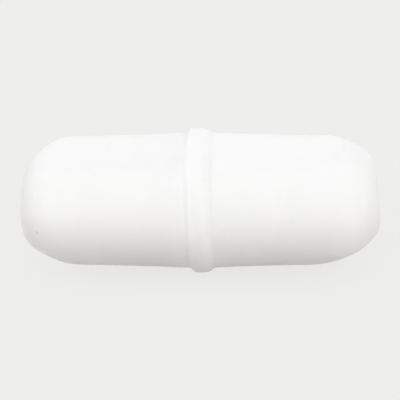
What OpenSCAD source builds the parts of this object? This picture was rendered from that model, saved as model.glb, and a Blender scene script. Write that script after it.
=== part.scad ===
// Magnetic stir bar with a pivot ring: a bar magnet sealed inside a moulded PTFE jacket.
// The bar lies along X, stands on its ring at the origin, and Z points up. Millimetres.

/* [Jacket] */
// Length of the whole bar, from tip to tip
bar_length = 22.2; // [18:0.1:40]
// Diameter that the tapered body would have at mid-length, under the ring
body_d = 8.3; // [7.6:0.05:11]
// Draft of the body, which narrows towards both ends
draft_angle = 1.4; // [0:0.1:3]
// Radius of the round shoulder at each end
shoulder_r = 3.3; // [1.6:0.1:3.8]
// Radius of the shallow dome across each tip
tip_r = 25; // [8:1:60]

/* [Pivot ring] */
// Height of the ring above the body at mid-length
ring_height = 0.33; // [0.2:0.01:1]
// Width of the crest that the bar spins on, between its two round edges
ring_crest_w = 0.8; // [0.3:0.02:1.3]
// Radius of the slight crown across the crest
ring_crown_r = 1.2; // [1.2:0.1:4]
// Slope of the ring's two sides, measured from the bar's axis
ring_side_angle = 50; // [35:1:70]
// Radius along both edges of the crest
ring_edge_r = 0.25; // [0.1:0.01:0.4]
// Radius of the blend from each side of the ring into the body
ring_foot_r = 0.5; // [0.1:0.05:1]

/* [Magnet] */
// Wall of the jacket beside the magnet, where the shoulders begin
side_wall = 0.9; // [0.6:0.05:1.8]
// Wall of the jacket between each tip and the magnet's cavity
end_wall = 2.05; // [1.5:0.05:5]
// Gap between the magnet and its cavity, all round
magnet_gap = 0.05; // [0.01:0.01:0.2]
// Chamfer on the end edges of the magnet
magnet_chamfer = 0.4; // [0.1:0.05:1]

/* [Hidden] */
$fn = 120;

jacket_colour = [0.95, 0.95, 0.94];
magnet_colour = [0.45, 0.45, 0.47];

// Profiles are drawn as [radius, distance along the bar], and are turned about the bar's axis.
// A round runs past its tangent point by this much, so that it meets its neighbour at one clean edge
round_lap = 0.0002;
// Spare length of shapes that are only trimmed by others
trim_margin = 1;

half_length = bar_length / 2;
body_r = body_d / 2;
ring_r = body_r + ring_height;

// The unit vector at an angle from the radial direction
function toward(angle) = [cos(angle), sin(angle)];

// Where two lines cross, each given by the angle of its normal and its distance from the centre
function crossing(angle_a, distance_a, angle_b, distance_b) =
    [distance_a * sin(angle_b) - distance_b * sin(angle_a),
     distance_b * cos(angle_a) - distance_a * cos(angle_b)] / sin(angle_b - angle_a);

// The straight flank of the body
flank_normal = toward(draft_angle);
flank_run = toward(draft_angle + 90);
flank_distance = body_r * cos(draft_angle);

// The round shoulder touches the flank from inside, and the tip's dome too
tip_centre = [0, half_length - tip_r];
shoulder_inset = flank_distance - shoulder_r;
shoulder_reach = sqrt(pow(tip_r - shoulder_r, 2) - pow(shoulder_inset - tip_centre * flank_normal, 2));
shoulder_centre = shoulder_inset * flank_normal + (tip_centre * flank_run + shoulder_reach) * flank_run;
shoulder_start = shoulder_centre + shoulder_r * flank_normal;
tip_direction = (shoulder_centre - tip_centre) / (tip_r - shoulder_r);

// The round edge touches the crest's crown from inside
crown_centre = [ring_r - ring_crown_r, 0];
crown_end = asin(ring_crest_w / 2 / ring_crown_r);
edge_centre = crown_centre + (ring_crown_r - ring_edge_r) * toward(crown_end);

// The ring's side runs from this edge to the blend at its foot
side_normal = toward(ring_side_angle);
side_start = edge_centre + ring_edge_r * side_normal;
side_distance = side_start * side_normal;
foot_r = min(ring_foot_r, (side_start.x - body_r) / (1 - cos(ring_side_angle)));
foot_corner = crossing(draft_angle, flank_distance, ring_side_angle, side_distance);
foot_centre = crossing(draft_angle, flank_distance + foot_r, ring_side_angle, side_distance + foot_r);

// The cavity and the magnet share their size, apart from the gap
cavity_d = 2 * (shoulder_start.x - side_wall);
cavity_length = bar_length - 2 * end_wall;
// An even gap round a chamfer lengthens each of the chamfer's legs by this share of the gap
chamfer_growth = 2 - sqrt(2);

// One half of the core: ring, side and flank, without its rounds
module core_half() {
    polygon([
        [0, 0],
        [edge_centre.x, 0],
        edge_centre,
        side_start,
        foot_corner,
        shoulder_start,
        [0, shoulder_start.y],
    ]);
}

// The crown across the crest, cut off along the lines where the round edges touch it
module crest_crown() {
    intersection() {
        translate(crown_centre)
            circle(r = ring_crown_r);
        polygon([
            crown_centre,
            crown_centre + (ring_crown_r + trim_margin) * toward(-crown_end),
            crown_centre + (ring_crown_r + trim_margin) * toward(crown_end),
        ]);
    }
}

module crest_edge() {
    translate(edge_centre)
        circle(r = ring_edge_r + round_lap);
}

// The hollow blend between the ring's side and the flank
module foot_blend() {
    difference() {
        polygon([
            foot_centre - foot_r * side_normal,
            foot_centre - foot_r * flank_normal,
            foot_corner - foot_r * side_normal - foot_r * flank_normal,
        ]);
        translate(foot_centre)
            circle(r = foot_r + round_lap);
    }
}

module shoulder() {
    intersection() {
        translate(shoulder_centre)
            circle(r = shoulder_r + round_lap);
        square([body_r + trim_margin, half_length + trim_margin]);
    }
}

// The dome across the tip, cut off along the line where the shoulder touches it
module tip_dome() {
    intersection() {
        translate(tip_centre)
            circle(r = tip_r);
        polygon([
            [0, 0],
            shoulder_centre,
            shoulder_centre + (shoulder_r + trim_margin) * tip_direction,
            [0, half_length + trim_margin],
        ]);
    }
}

module half_outline() {
    core_half();
    crest_edge();
    foot_blend();
    shoulder();
    tip_dome();
}

module outline() {
    crest_crown();
    half_outline();
    mirror([0, 1])
        half_outline();
}

// Turns a profile about the bar's axis and stands the bar on its ring
module turned() {
    translate([0, 0, ring_r])
        rotate([0, 90, 0])
            rotate_extrude()
                children();
}

// A round slug, chamfered at both ends
module slug_profile(diameter, length, chamfer) {
    radius = diameter / 2;
    end = length / 2;
    polygon([
        [0, -end],
        [radius - chamfer, -end],
        [radius, chamfer - end],
        [radius, end - chamfer],
        [radius - chamfer, end],
        [0, end],
    ]);
}

// The white jacket: body, ring and rounded ends in one moulding, closed round the magnet
module jacket() {
    color(jacket_colour)
        difference() {
            turned()
                outline();
            turned()
                slug_profile(cavity_d, cavity_length, magnet_chamfer + chamfer_growth * magnet_gap);
        }
}

// The bar magnet inside
module magnet() {
    color(magnet_colour)
        turned()
            slug_profile(cavity_d - 2 * magnet_gap, cavity_length - 2 * magnet_gap, magnet_chamfer);
}

jacket();
magnet();
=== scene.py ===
# Looks of a magnetic stir bar, built round its CAD frame. Metres, Z up, the bar lies along X on its ring.
import math
import bpy
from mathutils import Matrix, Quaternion, Vector, noise


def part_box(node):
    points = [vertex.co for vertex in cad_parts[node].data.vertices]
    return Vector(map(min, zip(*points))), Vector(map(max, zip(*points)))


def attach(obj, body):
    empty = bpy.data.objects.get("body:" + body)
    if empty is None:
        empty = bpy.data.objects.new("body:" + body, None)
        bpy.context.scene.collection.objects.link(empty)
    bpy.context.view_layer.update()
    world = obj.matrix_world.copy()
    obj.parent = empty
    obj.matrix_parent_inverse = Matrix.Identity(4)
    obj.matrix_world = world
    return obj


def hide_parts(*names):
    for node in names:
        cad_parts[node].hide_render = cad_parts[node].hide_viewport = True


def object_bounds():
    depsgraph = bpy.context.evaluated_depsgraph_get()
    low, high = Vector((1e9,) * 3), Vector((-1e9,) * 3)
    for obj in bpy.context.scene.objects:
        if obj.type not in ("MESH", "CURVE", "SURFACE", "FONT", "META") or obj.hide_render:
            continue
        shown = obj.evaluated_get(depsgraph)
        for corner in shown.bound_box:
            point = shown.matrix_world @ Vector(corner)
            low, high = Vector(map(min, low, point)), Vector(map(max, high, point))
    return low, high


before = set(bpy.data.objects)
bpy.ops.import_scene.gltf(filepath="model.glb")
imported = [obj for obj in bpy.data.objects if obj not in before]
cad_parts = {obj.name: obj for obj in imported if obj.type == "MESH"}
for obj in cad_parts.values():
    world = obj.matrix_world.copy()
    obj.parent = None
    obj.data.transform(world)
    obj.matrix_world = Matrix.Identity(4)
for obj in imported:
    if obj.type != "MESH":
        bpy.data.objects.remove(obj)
cadLow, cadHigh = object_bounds()
jacketLow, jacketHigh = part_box("jacket")
magnetLow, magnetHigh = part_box("magnet")

mm = 0.001
barCentre = (jacketLow + jacketHigh) / 2
halfLength = (jacketHigh.x - jacketLow.x) / 2
ringRadius = min(jacketHigh.y - jacketLow.y, jacketHigh.z - jacketLow.z) / 2


# small helpers for edit mode
def deselectAll():
    for item in bpy.context.selected_objects:
        item.select_set(False)
    bpy.context.view_layer.objects.active = None


def makeActive(piece):
    deselectAll()
    piece.select_set(True)
    bpy.context.view_layer.objects.active = piece


# small helpers for materials and the world
def newMaterial(name):
    material = bpy.data.materials.new(name)
    material.use_nodes = True
    material.node_tree.nodes.clear()
    return material


def addNode(material, kind, values=None, **settings):
    # adds a node, sets its properties and its sockets, which go by name or number
    node = material.node_tree.nodes.new("ShaderNode" + kind)
    for key, value in settings.items():
        setattr(node, key, value)
    for key, value in (values or {}).items():
        node.inputs[key].default_value = value
    return node


def link(material, output, socket):
    material.node_tree.links.new(output, socket)


def compute(material, operation, first, second):
    # a Math node with two linked values
    node = addNode(material, "Math", operation=operation)
    link(material, first, node.inputs[0])
    link(material, second, node.inputs[1])
    return node.outputs[0]


def stretch(material, value, fromRange, toRange):
    # maps a range of a value softly onto another
    ends = {1: fromRange[0], 2: fromRange[1], 3: toRange[0], 4: toRange[1]}
    node = addNode(material, "MapRange", ends, interpolation_type="SMOOTHSTEP")
    link(material, value, node.inputs[0])
    return node.outputs[0]


def mixColours(material, factor, first, second):
    # each colour is four numbers or another node's output
    node = addNode(material, "Mix", data_type="RGBA")
    link(material, factor, node.inputs[0])
    for socket, colour in ((node.inputs[6], first), (node.inputs[7], second)):
        if isinstance(colour, tuple):
            socket.default_value = colour
        else:
            link(material, colour, socket)
    return node.outputs[2]


def makeNoise(material, place, scale, detail, roughness=0.55):
    node = addNode(material, "TexNoise", {"Scale": scale, "Detail": detail, "Roughness": roughness})
    link(material, place, node.inputs["Vector"])
    return node.outputs["Fac"]


def makeBump(material, height, distance):
    node = addNode(material, "Bump", {"Strength": 1, "Distance": distance})
    link(material, height, node.inputs["Height"])
    return node.outputs["Normal"]


def giveMaterial(piece, material):
    piece.data.materials.clear()
    piece.data.materials.append(material)


# the jacket is one white moulding, spun from its profile
jacketValues = {
    "ringHeight": 0.31 * mm,       # crest above the body
    "peak": -0.02 * mm,            # where the crest is highest, from the bar's middle
    "draft": 1.4,                  # degrees
    "shoulder": 3.3 * mm,          # radius
    "tip": 25 * mm,                # radius of the dome across each tip
    # each side of the ring: radius and half width of the crown, radius of its edge, slope in degrees,
    # and radius at the foot
    "leftSide": {"crown": 1.6 * mm, "crest": 0.36 * mm, "edge": 0.15 * mm, "slope": 50, "foot": 0.35 * mm},
    "rightSide": {"crown": 1.8 * mm, "crest": 0.5 * mm, "edge": 0.3 * mm, "slope": 36, "foot": 0.6 * mm},
    "magnetGap": 0.05 * mm,
    "boreChamfer": 0.43 * mm,
    # fineness of the mesh
    "steps": {"crown": 5, "edge": 6, "foot": 8, "shoulder": 30, "dome": 5},
    "flankStep": 0.25 * mm,
    "turns": 160,                  # steps of the spin
    "boreSides": 96,
    "mergeDistance": 0.001 * mm,
}


def onCircle(centre, radius, angle):
    # a point in the profile's plane, as (along, out), at an angle from straight out towards the tip
    return Vector((centre[0] + radius * math.sin(angle), centre[1] + radius * math.cos(angle)))


def arc(centre, radius, start, end, steps):
    return [onCircle(centre, radius, start + (end - start) * step / steps) for step in range(steps + 1)]


def halfProfile(side, peak):
    # from the top of the crest to the tip, as (along, out)
    values = jacketValues
    steps = values["steps"]
    bodyRadius = ringRadius - values["ringHeight"]
    draft = math.radians(values["draft"])
    slope = math.radians(side["slope"])
    # the flank's line: along * sin(draft) + out * cos(draft) = flankDistance
    flankDistance = bodyRadius * math.cos(draft)
    # the crest's round edge touches its crown from inside
    crownCentre = (peak, ringRadius - side["crown"])
    crownEnd = math.asin(side["crest"] / side["crown"])
    crown = arc(crownCentre, side["crown"], 0, crownEnd, steps["crown"])
    edgeCentre = onCircle(crownCentre, side["crown"] - side["edge"], crownEnd)
    edge = arc(edgeCentre, side["edge"], crownEnd, slope, steps["edge"])
    sideDistance = edge[-1][0] * math.sin(slope) + edge[-1][1] * math.cos(slope)
    # the centre of the foot's blend lies off both lines by its radius
    flankOff = flankDistance + side["foot"]
    sideOff = sideDistance + side["foot"]
    across = math.sin(slope - draft)
    footCentre = ((sideOff * math.cos(draft) - flankOff * math.cos(slope)) / across,
                  (flankOff * math.sin(slope) - sideOff * math.sin(draft)) / across)
    foot = arc(footCentre, -side["foot"], slope, draft, steps["foot"])
    # the shoulder touches the flank and the tip's dome from inside
    tipCentre = halfLength - values["tip"]
    inset = flankDistance - values["shoulder"]
    reach = math.sqrt((values["tip"] - values["shoulder"]) ** 2 - (inset - tipCentre * math.sin(draft)) ** 2)
    run = tipCentre * math.cos(draft) + reach
    shoulderCentre = (inset * math.sin(draft) + run * math.cos(draft),
                      inset * math.cos(draft) - run * math.sin(draft))
    turnAngle = math.atan2(shoulderCentre[0] - tipCentre, shoulderCentre[1])
    shoulder = arc(shoulderCentre, values["shoulder"], draft, turnAngle, steps["shoulder"])
    dome = arc((tipCentre, 0), values["tip"], turnAngle, math.pi / 2, steps["dome"])
    flankSteps = round((shoulder[0] - foot[-1]).length / values["flankStep"])
    flank = [foot[-1].lerp(shoulder[0], step / flankSteps) for step in range(1, flankSteps)]
    return crown + edge[1:] + foot + flank + shoulder + dome[1:]


def spinProfile(name, points):
    # one vertex is extruded along the profile, then the chain is spun about the bar's axis
    bpy.ops.mesh.primitive_plane_add(size=mm, location=(points[0].x, 0, barCentre.z + points[0].y))
    piece = bpy.context.object
    piece.name = name
    bpy.ops.object.transform_apply(location=True, rotation=True, scale=True)
    bpy.ops.object.mode_set(mode="EDIT")
    bpy.ops.mesh.select_mode(type="VERT")
    bpy.ops.mesh.select_all(action="SELECT")
    bpy.ops.mesh.merge(type="CENTER")
    for start, end in zip(points, points[1:]):
        move = (end.x - start.x, 0, end.y - start.y)
        bpy.ops.mesh.extrude_region_move(TRANSFORM_OT_translate={"value": move})
    bpy.ops.mesh.select_all(action="SELECT")
    bpy.ops.mesh.spin(steps=jacketValues["turns"], angle=2 * math.pi, center=barCentre, axis=(1, 0, 0))
    bpy.ops.mesh.select_all(action="SELECT")
    bpy.ops.mesh.remove_doubles(threshold=jacketValues["mergeDistance"])
    bpy.ops.mesh.normals_make_consistent(inside=False)
    bpy.ops.object.mode_set(mode="OBJECT")
    return piece


def buildCavity():
    # the chamfered bore that holds the magnet, with its faces turned to look into the bore
    gap = jacketValues["magnetGap"]
    radius = (magnetHigh.z - magnetLow.z) / 2 + gap
    depth = magnetHigh.x - magnetLow.x + 2 * gap
    bpy.ops.mesh.primitive_cylinder_add(vertices=jacketValues["boreSides"], radius=radius, depth=depth,
                                        location=barCentre, rotation=(0, math.pi / 2, 0))
    cavity = bpy.context.object
    bpy.ops.object.transform_apply(location=True, rotation=True, scale=True)
    bpy.ops.object.mode_set(mode="EDIT")
    bpy.ops.mesh.select_mode(type="FACE")
    bpy.ops.mesh.select_all(action="DESELECT")
    bpy.ops.object.mode_set(mode="OBJECT")
    # the two end faces, which look along the bar
    for face in cavity.data.polygons:
        face.select = round(abs(face.normal.x)) == 1
    bpy.ops.object.mode_set(mode="EDIT")
    bpy.ops.mesh.region_to_loop()
    bpy.ops.mesh.bevel(offset=jacketValues["boreChamfer"], segments=1)
    bpy.ops.mesh.select_all(action="SELECT")
    bpy.ops.mesh.flip_normals()
    bpy.ops.object.mode_set(mode="OBJECT")
    return cavity


# the slight unevenness of the moulding, in millimetres and degrees
formValues = {
    "leanSkew": 92,          # the side where the ring leans to the left, round the bar from +Y towards +Z
    "lean": 2.0,
    "leanReach": 2.4,        # how far along the body the lean fades out
    "swell": (0.04, 0.02),   # how far the body swells beside the ring, left and right
    "swellPlace": 1.25,
    "swellReach": 1.2,
    "skew": 55,              # the side where the middle of both end faces slopes in
    "tipSlope": 7,
    "tipHeight": -0.35,      # height of that middle on the skew side
    "tipWidth": 1.4,         # and half its width
    "tipReach": 3.4,         # how far along the body it fades out
    "waves": 0.012,          # height of the waves all over
    "waveLength": 3,
    # soft flats on the round ends: place along the bar, height on the skew side, depth and reach
    "flats": [(8.8, -3.5, 0.22, 1.8), (-9.0, -3.5, 0.1, 1.6), (-9.6, 2.7, 0.12, 1.8)],
    # and soft bulges there
    "bulges": [(-10.7, -2.4, 0.21, 1.8), (10.9, -1.9, 0.12, 1.4), (10.3, 2.7, 0.14, 1.7)],
}


def fade(share):
    # 1 at no distance, falling softly to 0 at the full reach
    share = min(abs(share), 1)
    return 1 - share * share * (3 - 2 * share)


def aroundBar(angle):
    # the direction across the bar at this angle from +Y towards +Z
    return Vector((0, math.cos(math.radians(angle)), math.sin(math.radians(angle))))


def reshape(off):
    # off is a point's place from the bar's centre, in millimetres
    values = formValues
    outward = Vector((0, off.y, off.z)).normalized()
    upSide = aroundBar(values["skew"])
    # the ring leans
    nearRing = fade(off.x / values["leanReach"])
    lean = math.tan(math.radians(values["lean"])) * off.dot(aroundBar(values["leanSkew"])) * nearRing
    # the body swells beside it and has slight waves
    swellHeight = values["swell"][0 if off.x < 0 else 1]
    swell = swellHeight * fade((abs(off.x) - values["swellPlace"]) / values["swellReach"])
    wave = values["waves"] * (1 - nearRing) * noise.noise(off / values["waveLength"])
    # the end faces slope in
    high = off.dot(upSide) - values["tipHeight"]
    nearTip = fade((halfLength / mm - abs(off.x)) / values["tipReach"])
    slope = math.tan(math.radians(values["tipSlope"])) * high * math.exp(-(high / values["tipWidth"]) ** 2)
    moved = off + outward * (swell + wave)
    moved.x -= lean + math.copysign(nearTip, off.x) * slope
    # each flat and bulge moves the surface in or out from the centre of its round end
    for spots, sense in ((values["flats"], -1), (values["bulges"], 1)):
        for along, height, depth, reach in spots:
            endCentre = Vector((math.copysign((halfLength - jacketValues["shoulder"]) / mm, along), 0, 0))
            spot = Vector((along, 0, 0)) + height * upSide
            moved += (off - endCentre).normalized() * sense * depth * fade((off - spot).length / reach)
    return moved


def shapeByHand(piece):
    vertices = piece.data.vertices
    for vertex in vertices:
        vertex.co = barCentre + reshape((vertex.co - barCentre) / mm) * mm
    # each half is drawn back to its length
    longest = {sign: max(sign * (vertex.co.x - barCentre.x) for vertex in vertices) for sign in (-1, 1)}
    for vertex in vertices:
        along = vertex.co.x - barCentre.x
        vertex.co.x = barCentre.x + along * halfLength / longest[-1 if along < 0 else 1]


def buildJacket():
    left = halfProfile(jacketValues["leftSide"], -jacketValues["peak"])
    right = halfProfile(jacketValues["rightSide"], jacketValues["peak"])
    mirrored = [Vector((-point.x, point.y)) for point in left]
    jacket = spinProfile("jacket_shell", mirrored[::-1] + right[1:])
    shapeByHand(jacket)
    bpy.ops.object.shade_smooth()
    deselectAll()
    cavity = buildCavity()
    makeActive(jacket)
    cavity.select_set(True)
    bpy.ops.object.join()
    return jacket


deselectAll()
jacket = buildJacket()
print("jacket:", len(jacket.data.vertices), "vertices")


# white PTFE: faint clouds and grain from sintering, and a few specks of grit pressed into it
ptfeValues = {
    "clean": (0.942, 0.943, 0.94, 1),
    "dull": (0.905, 0.904, 0.895, 1),
    "cloudScale": 300,             # per metre
    "cloudDetail": 4,
    "cloudRange": (0.35, 0.65),    # from clean to dull
    "grainScale": 5000,
    "grainDetail": 3,
    "roughness": (0.38, 0.46),     # from clean to dull clouds
    "bumpHeight": 0.0015 * mm,
    "refraction": 1.35,
    "lightDepth": 0.3 * mm,        # how deep light goes in
    "speckColour": (0.72, 0.71, 0.68, 1),
    "speckCore": 0.3,              # share of a speck's radius before it fades
    # place on the bar in millimetres, radius in millimetres and strength
    "specks": [((-10.0, -2.4, 6.45), 0.12, 0.7), ((-9.7, -3.35, 4.45), 0.16, 0.65),
               ((8.8, -0.05, 8.3), 0.18, 0.15), ((0.35, -2.8, 7.9), 0.15, 0.12)],
}


def makeSpecks(material, place):
    # a speck's strength inside it, else 0
    specks = None
    for spot, radius, strength in ptfeValues["specks"]:
        away = addNode(material, "VectorMath", {1: Vector(spot) * mm}, operation="DISTANCE")
        link(material, place, away.inputs[0])
        edge = (ptfeValues["speckCore"] * radius * mm, radius * mm)
        speck = stretch(material, away.outputs["Value"], edge, (strength, 0))
        specks = speck if specks is None else compute(material, "MAXIMUM", specks, speck)
    return specks


def makePtfe():
    values = ptfeValues
    material = newMaterial("whitePtfe")
    output = addNode(material, "OutputMaterial")
    place = addNode(material, "TexCoord").outputs["Object"]
    pattern = makeNoise(material, place, values["cloudScale"], values["cloudDetail"])
    clouds = stretch(material, pattern, values["cloudRange"], (0, 1))
    grain = makeNoise(material, place, values["grainScale"], values["grainDetail"])
    specks = makeSpecks(material, place)
    dullness = compute(material, "MULTIPLY", clouds, grain)
    dulled = mixColours(material, dullness, values["clean"], values["dull"])
    colour = mixColours(material, specks, dulled, values["speckColour"])
    roughness = stretch(material, clouds, (0, 1), values["roughness"])
    bump = makeBump(material, compute(material, "SUBTRACT", grain, specks), values["bumpHeight"])
    shader = addNode(material, "BsdfPrincipled", {
        "IOR": values["refraction"],
        "Subsurface Weight": 1,
        "Subsurface Radius": (1, 1, 1),
        "Subsurface Scale": values["lightDepth"],
    })
    link(material, colour, shader.inputs["Base Color"])
    link(material, roughness, shader.inputs["Roughness"])
    link(material, bump, shader.inputs["Normal"])
    link(material, shader.outputs["BSDF"], output.inputs["Surface"])
    return material


giveMaterial(jacket, makePtfe())
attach(jacket, "root")
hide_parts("jacket")


# the magnet inside is bare alloy, ground round its axis
alloyValues = {
    "bright": (0.42, 0.42, 0.44, 1),
    "dark": (0.30, 0.30, 0.315, 1),
    "grindScale": 9000,            # marks per metre along the bar
    "grindDetail": 3,
    "grindRange": (0.3, 0.7),      # from smooth to rough
    "drawOut": (1, 0.02, 0.02),    # squeezes the pattern across the bar, into marks round the axis
    "cloudScale": 400,
    "cloudDetail": 3,
    "cloudRange": (0.3, 0.7),      # from dark to bright clouds
    "cloudShade": (0.5, 1),
    "roughness": (0.32, 0.5),
    "bumpHeight": 0.002 * mm,
}


def makeAlloy():
    values = alloyValues
    material = newMaterial("groundAlloy")
    output = addNode(material, "OutputMaterial")
    place = addNode(material, "TexCoord").outputs["Object"]
    squeeze = addNode(material, "Mapping", {"Scale": values["drawOut"]}, vector_type="POINT")
    link(material, place, squeeze.inputs["Vector"])
    marks = makeNoise(material, squeeze.outputs["Vector"], values["grindScale"], values["grindDetail"])
    pattern = makeNoise(material, place, values["cloudScale"], values["cloudDetail"])
    clouds = stretch(material, pattern, values["cloudRange"], values["cloudShade"])
    tone = compute(material, "MULTIPLY", clouds, marks)
    colour = mixColours(material, tone, values["dark"], values["bright"])
    roughness = stretch(material, marks, values["grindRange"], values["roughness"])
    bump = makeBump(material, marks, values["bumpHeight"])
    shader = addNode(material, "BsdfPrincipled", {"Metallic": 1})
    link(material, colour, shader.inputs["Base Color"])
    link(material, roughness, shader.inputs["Roughness"])
    link(material, bump, shader.inputs["Normal"])
    link(material, shader.outputs["BSDF"], output.inputs["Surface"])
    return material


giveMaterial(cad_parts["magnet"], makeAlloy())
print("finishes: white PTFE and ground alloy")


# a pale floor, which the camera and reflections see at one even brightness with a faint shadow
stageValues = {
    "floorSize": 1.2,
    "shown": 0.857,                        # brightness of floor and surroundings for camera and reflections
    "tint": (1, 1, 0.984, 1),
    "shadowShare": 0.1,                    # how much of the floor's real light and shadow shows there
    "shownAlbedo": (0.8, 0.8, 0.787, 1),   # colour of that share
    "bounce": (0.42, 0.4, 0.375, 1),       # colour of the floor for the light that it throws on the bar
}


def cameraOrMirror(material):
    # 1 for camera, glossy and transmission rays, else 0
    path = addNode(material, "LightPath").outputs
    seen = compute(material, "MAXIMUM", path["Is Camera Ray"], path["Is Glossy Ray"])
    return compute(material, "MAXIMUM", seen, path["Is Transmission Ray"])


def makeFloorMaterial():
    values = stageValues
    material = newMaterial("paleFloor")
    output = addNode(material, "OutputMaterial")
    bounce = addNode(material, "BsdfDiffuse", {"Color": values["bounce"]})
    shaded = addNode(material, "BsdfDiffuse", {"Color": values["shownAlbedo"]})
    glow = addNode(material, "Emission", {"Color": values["tint"], "Strength": values["shown"]})
    shown = addNode(material, "MixShader", {0: values["shadowShare"]})
    mix = addNode(material, "MixShader")
    link(material, glow.outputs[0], shown.inputs[1])
    link(material, shaded.outputs[0], shown.inputs[2])
    link(material, cameraOrMirror(material), mix.inputs[0])
    link(material, bounce.outputs[0], mix.inputs[1])
    link(material, shown.outputs[0], mix.inputs[2])
    link(material, mix.outputs[0], output.inputs["Surface"])
    return material


def buildFloor():
    deselectAll()
    bpy.ops.mesh.primitive_plane_add(size=stageValues["floorSize"], location=(0, 0, cadLow.z))
    floor = bpy.context.object
    floor.name = "floor"
    giveMaterial(floor, makeFloorMaterial())


def buildWorld():
    # the first shader of the mix stays empty, so the surroundings are seen but throw no light
    world = bpy.data.worlds.new("surroundings")
    bpy.context.scene.world = world
    world.use_nodes = True
    world.node_tree.nodes.clear()
    output = addNode(world, "OutputWorld")
    seen = addNode(world, "Background", {"Color": stageValues["tint"], "Strength": stageValues["shown"]})
    mix = addNode(world, "MixShader")
    link(world, cameraOrMirror(world), mix.inputs[0])
    link(world, seen.outputs[0], mix.inputs[2])
    link(world, mix.outputs[0], output.inputs["Surface"])


# soft studio light
lightValues = {
    "distance": 0.5,       # of each lamp from the bar
    "glareLimit": 60,      # lamps below this elevation aren't mirrored, so that no contour glares
    # azimuth and elevation from the bar in degrees, width, height, and strength
    "lamps": {
        "overheadStrip": (0, 80, 0.4, 0.12, 0.26),
        "frontStrip": (-4, 3, 0.4, 0.12, 0.47),
        "backStrip": (180, 30, 0.4, 0.12, 0.31),
        "rightPanel": (90, 5, 0.2, 0.2, 0.415),
        "leftPanel": (-90, 30, 0.2, 0.2, 0.265),
        "frontRightPanel": (45, 45, 0.2, 0.2, 0.3),
        "frontLeftPanel": (-45, 45, 0.2, 0.2, 0.22),
        "backRightPanel": (135, 20, 0.2, 0.2, 0.2),
        "backLeftPanel": (-135, 20, 0.2, 0.2, 0.2),
    },
}


def direction(azimuth, elevation):
    # from the bar, azimuth 0 is the front, towards -Y, and 90 the right, towards +X
    a = math.radians(azimuth)
    e = math.radians(elevation)
    return Vector((math.sin(a) * math.cos(e), -math.cos(a) * math.cos(e), math.sin(e)))


def addLamp(name, azimuth, elevation, width, height, strength):
    distance = lightValues["distance"]
    lamp = bpy.data.lights.new(name, "AREA")
    lamp.shape = "RECTANGLE"
    lamp.size = width
    lamp.size_y = height
    # an area lamp of this power gives a white card that faces it a brightness of about strength
    lamp.energy = strength * math.pi ** 2 * distance ** 2
    holder = bpy.data.objects.new(name, lamp)
    bpy.context.scene.collection.objects.link(holder)
    towards = direction(azimuth, elevation)
    holder.location = barCentre + towards * distance
    holder.rotation_mode = "QUATERNION"
    holder.rotation_quaternion = towards.to_track_quat("Z", "Y")
    holder.visible_camera = False
    holder.visible_glossy = elevation > lightValues["glareLimit"]


buildFloor()
buildWorld()
for lampName, lampSetting in lightValues["lamps"].items():
    addLamp(lampName, *lampSetting)
print("stage: floor, surroundings and", len(lightValues["lamps"]), "lamps")


# the camera looks a little down on the bar
cameraValues = {
    "azimuth": 3.7,
    "elevation": 35,
    "tilt": 0.15,              # how far the bar's right end stands higher, degrees
    "lens": 135,               # mm
    "sensor": 36,              # mm
    "frameWidth": 24.75 * mm,  # what the frame spans at the bar
    "clip": (0.1, 100),        # nearest and farthest that is seen, as shares of the distance to the bar
}


def buildCamera():
    values = cameraValues
    data = bpy.data.cameras.new("camera")
    data.lens = values["lens"]
    data.sensor_width = values["sensor"]
    camera = bpy.data.objects.new("camera", data)
    bpy.context.scene.collection.objects.link(camera)
    distance = values["frameWidth"] * data.lens / data.sensor_width
    back = direction(values["azimuth"], values["elevation"])
    camera.location = barCentre + back * distance
    # the bar's axis would fall to the right by this much, seen from here
    azimuth = math.radians(values["azimuth"])
    elevation = math.radians(values["elevation"])
    fall = math.atan(math.tan(azimuth) * math.sin(elevation))
    roll = Quaternion((0, 0, 1), -(fall + math.radians(values["tilt"])))
    camera.rotation_mode = "QUATERNION"
    camera.rotation_quaternion = (-back).to_track_quat("-Z", "Y") @ roll
    data.clip_start = values["clip"][0] * distance
    data.clip_end = values["clip"][1] * distance
    bpy.context.scene.camera = camera


buildCamera()
bpy.context.scene.view_settings.view_transform = "Standard"
print("camera: in place")
